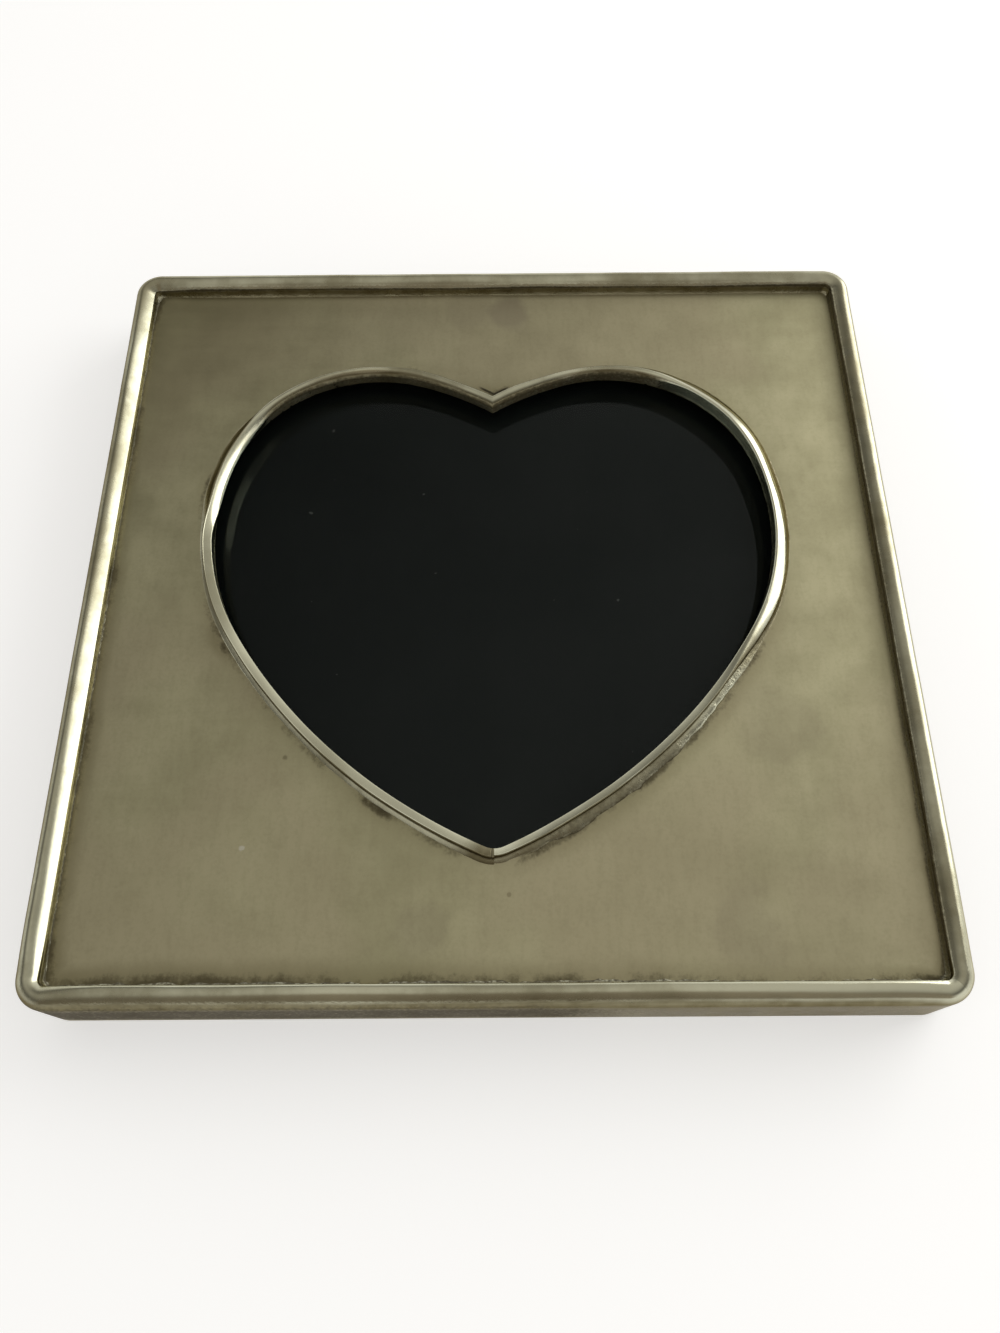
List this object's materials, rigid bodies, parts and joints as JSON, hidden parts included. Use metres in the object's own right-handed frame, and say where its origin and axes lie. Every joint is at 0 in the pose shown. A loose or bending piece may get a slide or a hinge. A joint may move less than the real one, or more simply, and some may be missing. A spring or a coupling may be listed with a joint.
{
  "type": "heart opening photo frame",
  "caption": "Square soldered pewter photo frame with a raised rim, a heart-shaped glazed opening with a standing bezel, turn buttons and a folding easel leg on the back.",
  "frame": {"origin": "middle of the back, on the plane that the back edges of the rails rest on", "axes": "+Z out of the face, +Y towards the heart's lobes (up when the frame stands), +X to the right seen from the face"},
  "size_m": [0.15, 0.15, 0.0142],
  "materials": {
    "pewter": "polished, aged pewter",
    "pewter_plate": "satin, aged pewter",
    "clear_glass": "clear",
    "black_card": "matt black",
    "flocked_board": "black flock over hardboard",
    "aged_brass": "aged satin brass"
  },
  "bodies": {
    "frame": {"rim_rail_bottom": "pewter", "rim_rail_right": "pewter", "rim_rail_top": "pewter", "rim_rail_left": "pewter", "front_plate": "pewter_plate", "heart_bezel_left": "pewter", "heart_bezel_right": "pewter", "glass_pane": "clear_glass", "display_card": "black_card", "backing_board": "flocked_board", "hinge_board_leaf": "aged_brass", "hinge_pin": "aged_brass", "board_rivet_left": "aged_brass", "board_rivet_right": "aged_brass", "button_screw_upper_left": "aged_brass", "button_screw_upper_right": "aged_brass", "button_screw_lower_left": "aged_brass", "button_screw_lower_right": "aged_brass"},
    "easel": {"easel_leg": "flocked_board", "hinge_leg_leaf": "aged_brass", "leg_rivet_left": "aged_brass", "leg_rivet_right": "aged_brass"},
    "button_upper_left": {"turn_button_upper_left": "aged_brass"},
    "button_upper_right": {"turn_button_upper_right": "aged_brass"},
    "button_lower_left": {"turn_button_lower_left": "aged_brass"},
    "button_lower_right": {"turn_button_lower_right": "aged_brass"}
  },
  "joints": [
    {"name": "easel_hinge", "type": "hinge", "parent": "frame", "child": "easel", "pos_m": [0, 0.04, 0.0024], "axis": [1, 0, 0], "range_deg": [0, 28]},
    {"name": "button_upper_left_turn", "type": "hinge", "parent": "frame", "child": "button_upper_left", "pos_m": [-0.07, 0.04, 0.0032], "axis": [0, 0, 1], "range_deg": [-90, 90]},
    {"name": "button_upper_right_turn", "type": "hinge", "parent": "frame", "child": "button_upper_right", "pos_m": [0.07, 0.04, 0.0032], "axis": [0, 0, 1], "range_deg": [-90, 90]},
    {"name": "button_lower_left_turn", "type": "hinge", "parent": "frame", "child": "button_lower_left", "pos_m": [-0.07, -0.04, 0.0032], "axis": [0, 0, 1], "range_deg": [-90, 90]},
    {"name": "button_lower_right_turn", "type": "hinge", "parent": "frame", "child": "button_lower_right", "pos_m": [0.07, -0.04, 0.0032], "axis": [0, 0, 1], "range_deg": [-90, 90]}
  ]
}
